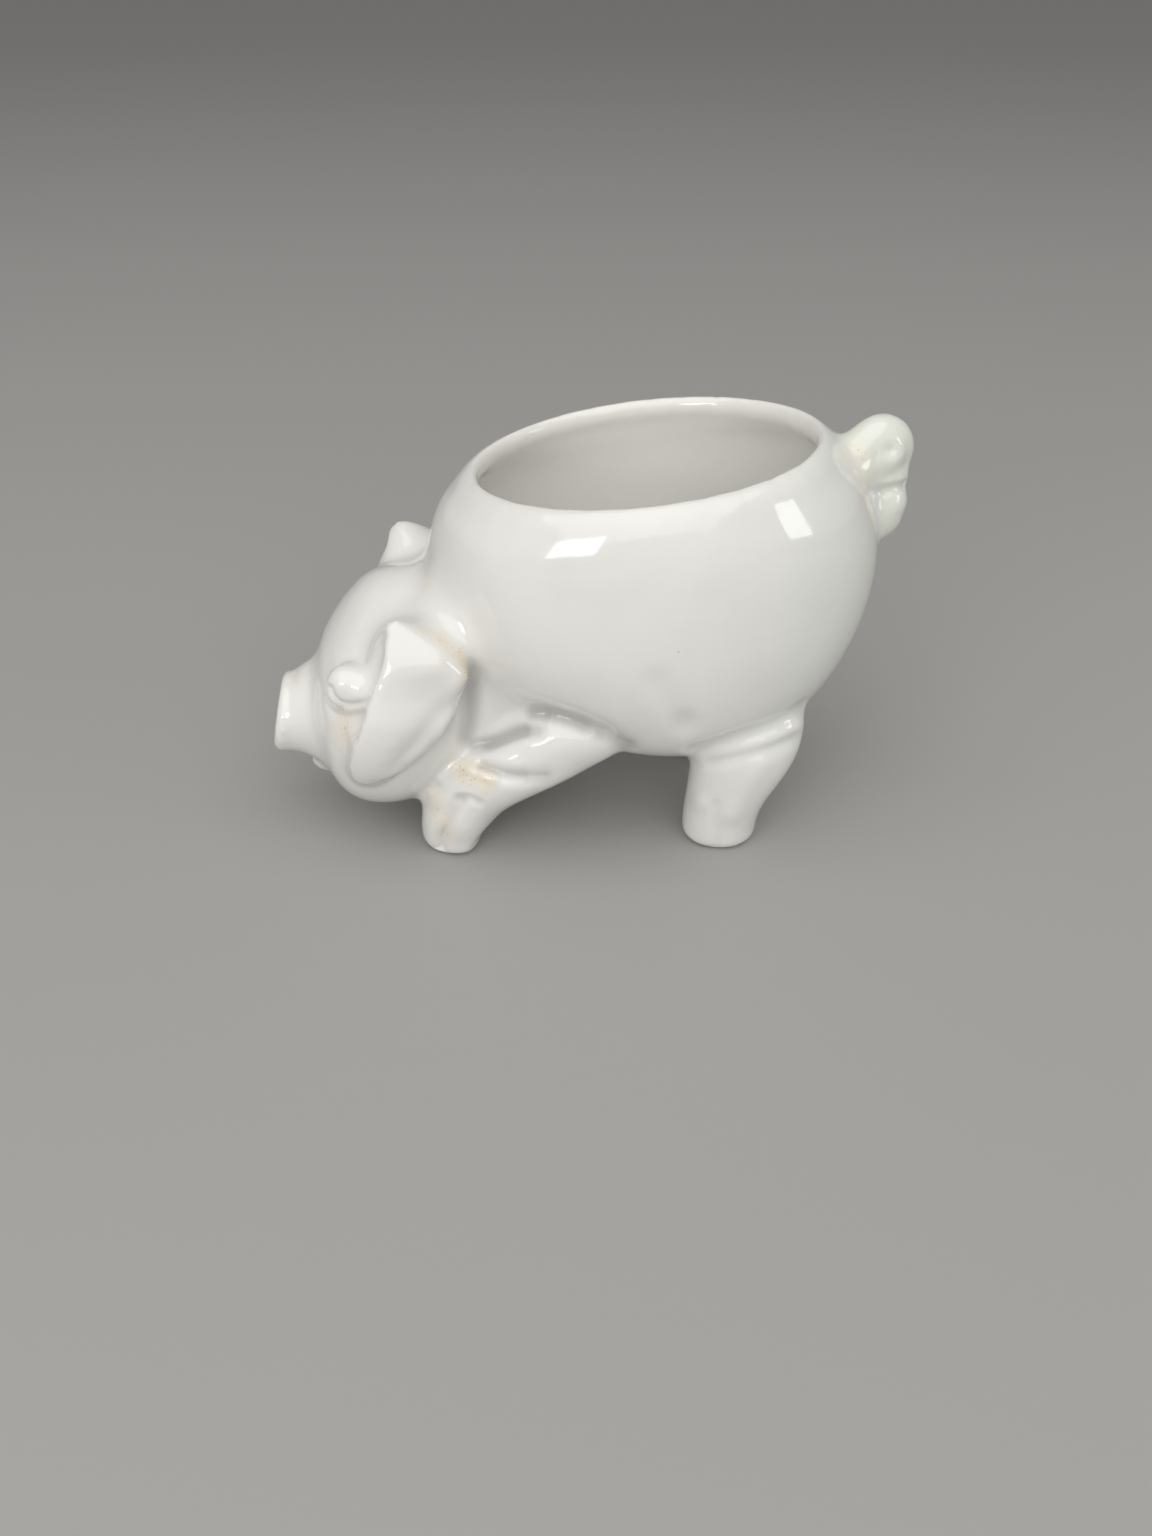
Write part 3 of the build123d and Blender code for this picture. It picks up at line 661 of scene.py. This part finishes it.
def make_glaze(name, white, shade):
    """A fired glaze of two close tones, with the tints, painted shade and light, stains, specks and pinholes
    laid over them.
    """
    glaze = bpy.data.materials.new(name)
    glaze.use_nodes = True
    tree = glaze.node_tree
    shader = tree.nodes["Principled BSDF"]
    place = tree.nodes.new("ShaderNodeTexCoord").outputs["Object"]

    def noise(scale, detail):
        """Cloudy noise over the piece, features per metre."""
        node = tree.nodes.new("ShaderNodeTexNoise")
        tree.links.new(place, node.inputs["Vector"])
        node.inputs["Scale"].default_value = scale
        node.inputs["Detail"].default_value = detail
        return node.outputs["Fac"]

    def ramp(value, start, end, low=0.0, high=1.0):
        """The value's run from start to end, turned into low to high."""
        node = tree.nodes.new("ShaderNodeMapRange")
        node.interpolation_type = "SMOOTHSTEP"
        tree.links.new(value, node.inputs["Value"])
        node.inputs["From Min"].default_value = start
        node.inputs["From Max"].default_value = end
        node.inputs["To Min"].default_value = low
        node.inputs["To Max"].default_value = high
        return node.outputs["Result"]

    def times(one, other):
        """Two values multiplied."""
        node = tree.nodes.new("ShaderNodeMath")
        node.operation = "MULTIPLY"
        for value, socket in zip((one, other), node.inputs):
            if isinstance(value, float):
                socket.default_value = value
            else:
                tree.links.new(value, socket)
        return node.outputs["Value"]

    def field(name):
        """One of the fields on the vertices."""
        node = tree.nodes.new("ShaderNodeAttribute")
        node.attribute_name = name
        return node.outputs["Fac"]

    def lay(under, over, share):
        """One colour over another, by a share."""
        node = tree.nodes.new("ShaderNodeMix")
        node.data_type = "RGBA"
        tree.links.new(share, node.inputs["Factor"])
        for value, socket in zip((under, over), (node.inputs["A"], node.inputs["B"])):
            if isinstance(value, tuple):
                socket.default_value = value
            else:
                tree.links.new(value, socket)
        return node.outputs["Result"]

    def spots(scale, radius, soft):
        """Small round spots, one in each cell of a loose grid."""
        node = tree.nodes.new("ShaderNodeTexVoronoi")
        tree.links.new(place, node.inputs["Vector"])
        node.inputs["Scale"].default_value = scale
        chosen = tree.nodes.new("ShaderNodeSeparateColor")
        tree.links.new(node.outputs["Color"], chosen.inputs["Color"])
        spot = ramp(node.outputs["Distance"], radius, radius + soft, 1.0, 0.0)
        return times(spot, ramp(chosen.outputs["Red"], 0.62, 0.66))

    along = tree.nodes.new("ShaderNodeSeparateXYZ")
    tree.links.new(place, along.inputs["Vector"])
    stain = times(field("stain"), ramp(noise(150, 4), 0.3, 0.68, 0.25, 1.0))
    colour = lay(white, shade, ramp(noise(24, 3), 0.35, 0.7))
    # Painted shade: darker and greener towards the rear.
    colour = lay(colour, RUMP_SHADE_TINT, ramp(along.outputs["X"], 0.02, 0.13, 0.0, 0.55))
    # Painted light: lighter inside the bowl.
    colour = lay(colour, INSIDE_LIGHT_TINT, field("inside"))
    # Painted shade in hollows, partly pooled glaze.
    colour = lay(colour, POOL_AND_SHADE_TINT, times(field("pool_and_shade"), 0.6))
    # Painted shade in the folds and behind the ear.
    colour = lay(colour, FOLD_SHADE_TINT, times(field("fold"), 0.75))
    colour = lay(colour, RIDGE_TINT, times(field("ridge"), 0.6))
    colour = lay(colour, STAIN_TINT, times(stain, 0.62))
    colour = lay(colour, SPECK_BROWN, times(times(spots(700, 0.16, 0.16), stain), 0.75))
    colour = lay(colour, PINHOLE_GREY, times(spots(62, 0.014, 0.012), 0.7))
    tree.links.new(colour, shader.inputs["Base Color"])
    tree.links.new(ramp(noise(38, 2), 0.3, 0.7, 0.06, 0.12), shader.inputs["Roughness"])
    shader.inputs["IOR"].default_value = 1.5
    shader.inputs["Coat Weight"].default_value = 0.25
    shader.inputs["Coat Roughness"].default_value = 0.04
    waves = tree.nodes.new("ShaderNodeBump")
    waves.inputs["Strength"].default_value = 0.12
    waves.inputs["Distance"].default_value = 0.0006
    tree.links.new(noise(45, 1), waves.inputs["Height"])
    peel = tree.nodes.new("ShaderNodeBump")
    peel.inputs["Strength"].default_value = 0.03
    peel.inputs["Distance"].default_value = 0.0002
    tree.links.new(noise(420, 1), peel.inputs["Height"])
    tree.links.new(waves.outputs["Normal"], peel.inputs["Normal"])
    tree.links.new(peel.outputs["Normal"], shader.inputs["Normal"])
    return glaze


white_glaze = make_glaze("white_glaze", BODY_WHITE, BODY_SHADE)
cream_glaze = make_glaze("cream_glaze", TAIL_WHITE, TAIL_SHADE)

# The parting: each face of the skin goes to the solid it lies nearest, and each piece is closed behind with
# a cap that follows the outside of the bowl and the head, sunk into the wall.
CAP_RINGS = 5
CAP_SINK = 3.4 * MM
EAR_CAP_SINK = 5.5 * MM


def open_loops(starts, ends):
    """The open loops of a mesh, from the directed edges of its faces, in the order that its caps need."""
    size = max(starts.max(), ends.max()) + 1
    bare = ~np.isin(ends * size + starts, starts * size + ends)
    onward = {}
    for here, there in zip(ends[bare].tolist(), starts[bare].tolist()):
        onward.setdefault(here, []).append(there)
    loops = []
    while onward:
        loop = [next(iter(onward))]
        while True:
            steps = onward[loop[-1]]
            step = steps.pop()
            if not steps:
                del onward[loop[-1]]
            if step == loop[0]:
                break
            loop.append(step)
        loops.append(loop)
    return loops


def cap(places, loop, tree, sink):
    """New places and faces that close a loop, drawn onto the surface of the tree and sunk under it."""
    rim = places[loop]
    count = len(loop)
    ring_before = list(loop)
    new_places = []
    new_faces = []
    for ring in range(1, CAP_RINGS + 1):
        share = ring / (CAP_RINGS + 1)
        for point in rim + (rim.mean(axis=0) - rim) * share:
            spot, outward, _, _ = tree.find_nearest(point)
            new_places.append(spot - outward * sink)
        start = len(places) + len(new_places) - count
        ring_now = list(range(start, start + count))
        for i in range(count):
            j = (i + 1) % count
            new_faces.append([ring_before[i], ring_before[j], ring_now[j], ring_now[i]])
        ring_before = ring_now
    spot, outward, _, _ = tree.find_nearest(rim.mean(axis=0))
    new_places.append(spot - outward * sink)
    middle = len(places) + len(new_places) - 1
    new_faces += [[ring_before[i], ring_before[(i + 1) % count], middle] for i in range(count)]
    return np.array(new_places), new_faces


names = list(nodes)
nearness = everywhere.spread(np.stack([gaps[name] for name in names], axis=1), 12)
corner_start = np.empty(len(skin.polygons), dtype=np.int64)
corner_count = np.empty(len(skin.polygons), dtype=np.int64)
corners = np.empty(len(skin.loops), dtype=np.int64)
skin.polygons.foreach_get("loop_start", corner_start)
skin.polygons.foreach_get("loop_total", corner_count)
skin.loops.foreach_get("vertex_index", corners)
next_corner = np.roll(corners, -1)
next_corner[corner_start + corner_count - 1] = corners[corner_start]
owner = np.argmin(np.add.reduceat(nearness[corners], corner_start, axis=0), axis=1)
corner_owner = np.repeat(owner, corner_count)
torso_outer = surface_tree(["torso_bowl"], faces_out)
head_outer = surface_tree(["torso_bowl", "head"], faces_out)

for number, name in enumerate(names):
    rows = corner_owner == number
    used, local = np.unique(corners[rows], return_inverse=True)
    place_of = np.full(len(points), -1)
    place_of[used] = np.arange(len(used))
    splits = np.cumsum(corner_count[owner == number])[:-1]
    faces = [part.tolist() for part in np.split(local, splits)]
    places = points[used]
    tree = torso_outer if name == "torso_bowl" else head_outer
    for loop in open_loops(local, place_of[next_corner[rows]]):
        new_places, new_faces = cap(places, loop, tree, EAR_CAP_SINK if name.endswith("ear") else CAP_SINK)
        places = np.concatenate([places, new_places])
        faces += new_faces
    mesh = bpy.data.meshes.new(name + "_glazed")
    mesh.from_pydata(places, [], faces)
    mesh.update()
    for title, values in fields.items():
        padded = np.zeros(len(places))
        padded[:len(used)] = values[used]
        mesh.attributes.new(title, "FLOAT", "POINT").data.foreach_set("value", padded)
    shaded = read_points(mesh, "normal")
    shaded[:len(used)] = normals[used]
    mesh.polygons.foreach_set("use_smooth", np.ones(len(mesh.polygons), dtype=bool))
    mesh.normals_split_custom_set_from_vertices(shaded.tolist())
    mesh.materials.append(cream_glaze if name == "tail" else white_glaze)
    piece = new_piece(name + "_glazed", mesh)
    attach(piece, "root")
    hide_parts(name)
bpy.data.meshes.remove(skin)

# The floor, the lamps and the camera.
floor_bm = bmesh.new()
bmesh.ops.create_grid(floor_bm, x_segments=1, y_segments=1, size=40)
floor_mesh = bpy.data.meshes.new("floor")
floor_bm.to_mesh(floor_mesh)
floor_bm.free()
floor = new_piece("floor", floor_mesh)
floor_paint = bpy.data.materials.new("floor_paint")
floor_paint.use_nodes = True
floor_shader = floor_paint.node_tree.nodes["Principled BSDF"]
floor_shader.inputs["Base Color"].default_value = (0.38, 0.372, 0.365, 1)
floor_shader.inputs["Roughness"].default_value = 0.7
floor_mesh.materials.append(floor_paint)

world = bpy.data.worlds.new("studio")
bpy.context.scene.world = world
world.use_nodes = True
sky = world.node_tree.nodes["Background"]
sky.inputs["Color"].default_value = (1, 0.99, 0.97, 1)
sky.inputs["Strength"].default_value = 0.34

# Each lamp's name, direction from the pig, distance, width, height, power and colour.
for name, toward, distance, width, height, power, colour in (
    ("key", (-0.1, -0.6, 0.8), 2.6, 4.6, 4.6, 84, (1, 0.99, 0.97)),
    ("window", (-0.6, -0.79, 0.22), 1.3, 0.54, 0.24, 2.7, (1, 1, 0.98)),
    ("side_window", (0.9, -0.41, 0.2), 1.3, 0.30, 0.30, 1.2, (0.95, 1, 0.97)),
):
    lamp_data = bpy.data.lights.new(name, "AREA")
    lamp_data.shape = "RECTANGLE"
    lamp_data.size = width
    lamp_data.size_y = height
    lamp_data.energy = power
    lamp_data.color = colour
    lamp = bpy.data.objects.new(name, lamp_data)
    bpy.context.scene.collection.objects.link(lamp)
    lamp.location = Vector((0, 0, 0.1)) + distance * Vector(toward).normalized()
    lamp.rotation_euler = Vector(toward).to_track_quat("Z", "Y").to_euler()

CAMERA_AIM = Vector((0.0867, 0.8245, -0.5592))
camera_data = bpy.data.cameras.new("camera")
camera_data.sensor_width = 36
camera_data.lens = 28.125
camera_data.clip_start = 0.01
camera = bpy.data.objects.new("camera", camera_data)
bpy.context.scene.collection.objects.link(camera)
camera.location = Vector(WORK_EYE)
camera.rotation_euler = CAMERA_AIM.to_track_quat("-Z", "Y").to_euler()
bpy.context.scene.camera = camera
bpy.context.scene.view_settings.view_transform = "Standard"
